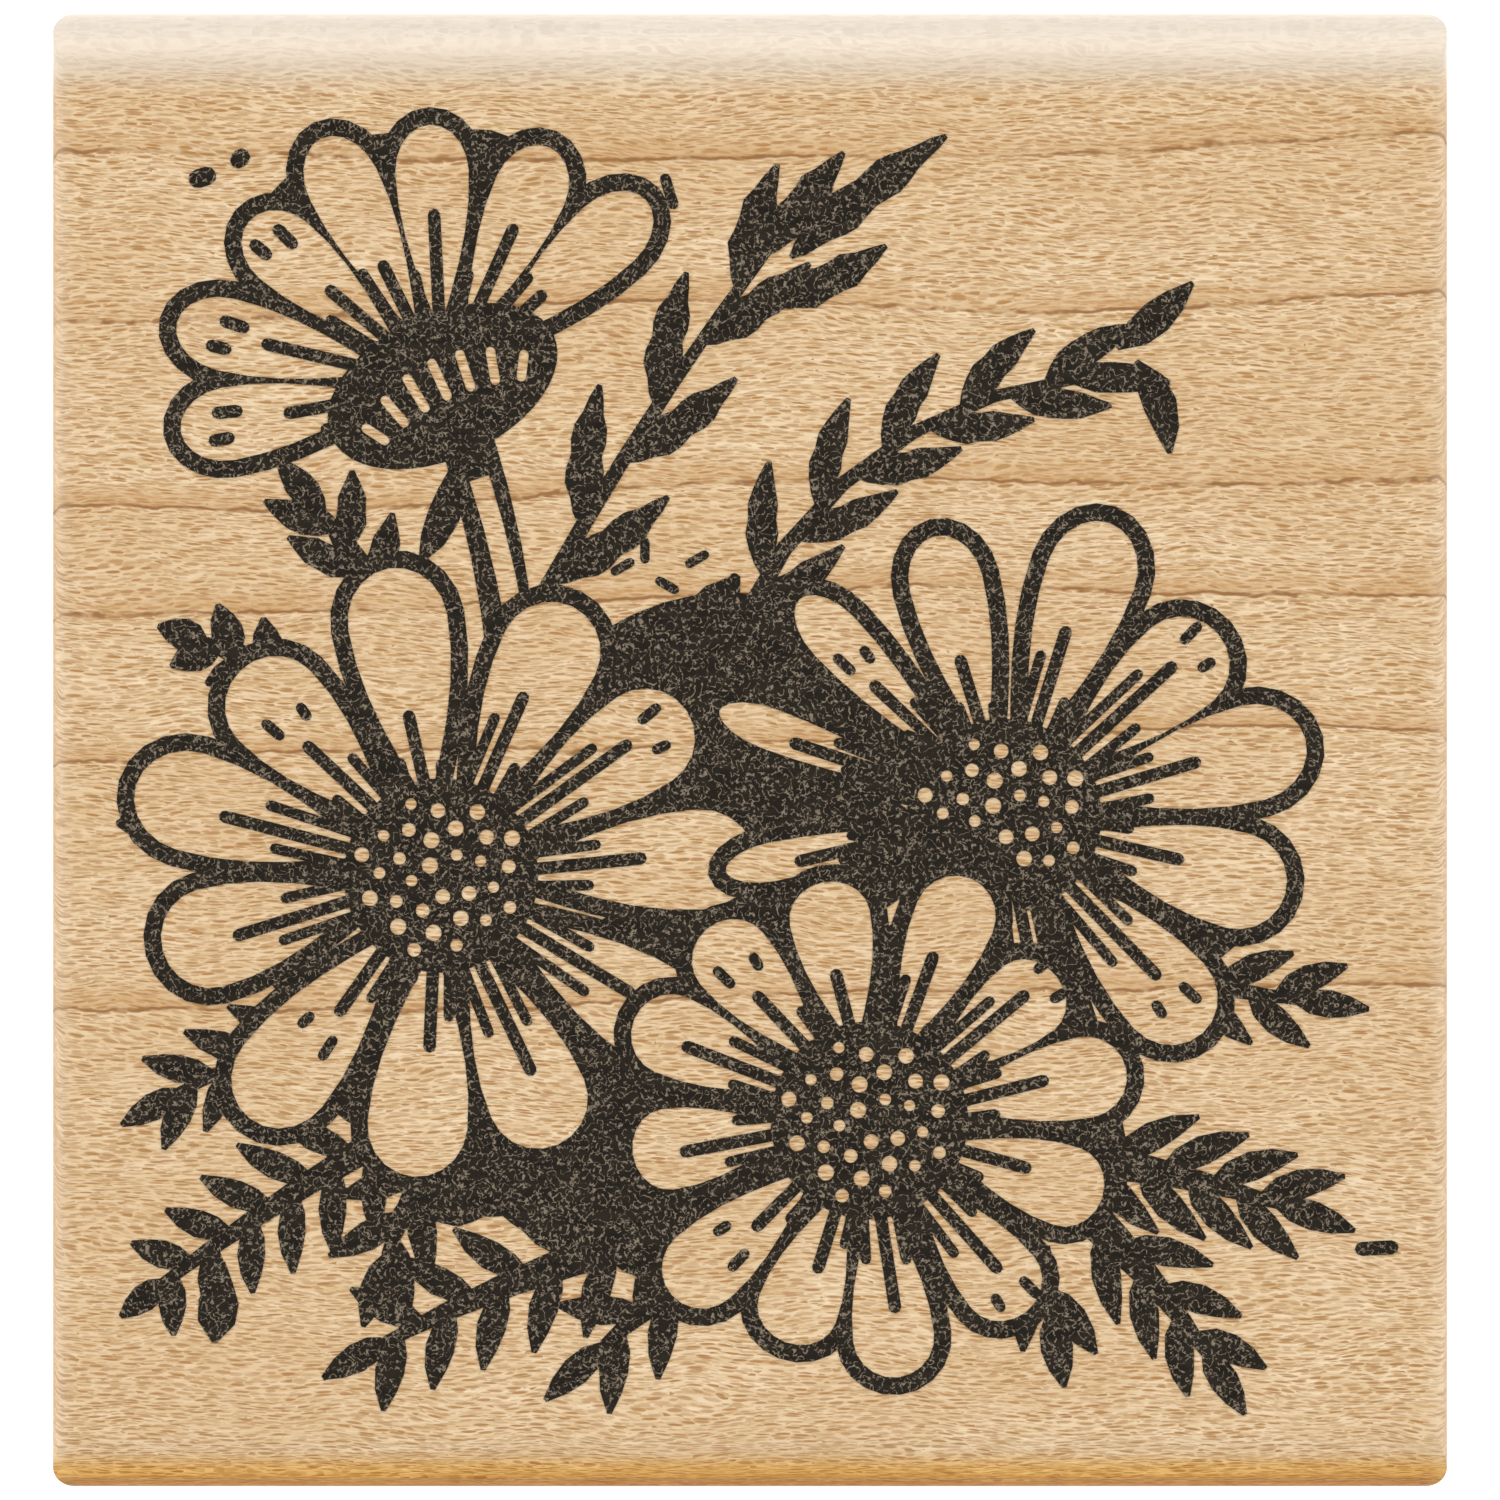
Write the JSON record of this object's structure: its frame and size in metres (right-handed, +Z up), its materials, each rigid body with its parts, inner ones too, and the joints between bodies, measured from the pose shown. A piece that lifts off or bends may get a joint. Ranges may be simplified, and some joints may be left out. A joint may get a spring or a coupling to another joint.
{
  "type": "wood-mounted rubber stamp",
  "caption": "Hand stamp: a moulded wood block with rounded shoulders and side finger grooves, a daisy print on top, and a foam-backed rubber die with the same daisy design raised underneath.",
  "frame": {"origin": "centre of the object's bounding box in X and Y, at the printing face of the die, which is the plane the stamp stands and prints on", "axes": "+X along the wood grain, from sawn end to sawn end; +Y across the grain, towards the top of the printed design; +Z up, from the die to the index print"},
  "size_m": [0.089, 0.0944, 0.0251],
  "materials": {
    "maple": "bare, fine-sanded",
    "print_ink": "matte, speckled",
    "adhesive_film": "smooth",
    "cushion_foam": "closed-cell foam, die-cut edge",
    "die_rubber": "moulded, matte"
  },
  "bodies": {
    "root": {"wood_block": "maple", "index_print": "print_ink", "block_adhesive": "adhesive_film", "foam_cushion": "cushion_foam", "die_adhesive": "adhesive_film", "rubber_die": "die_rubber"}
  },
  "joints": []
}
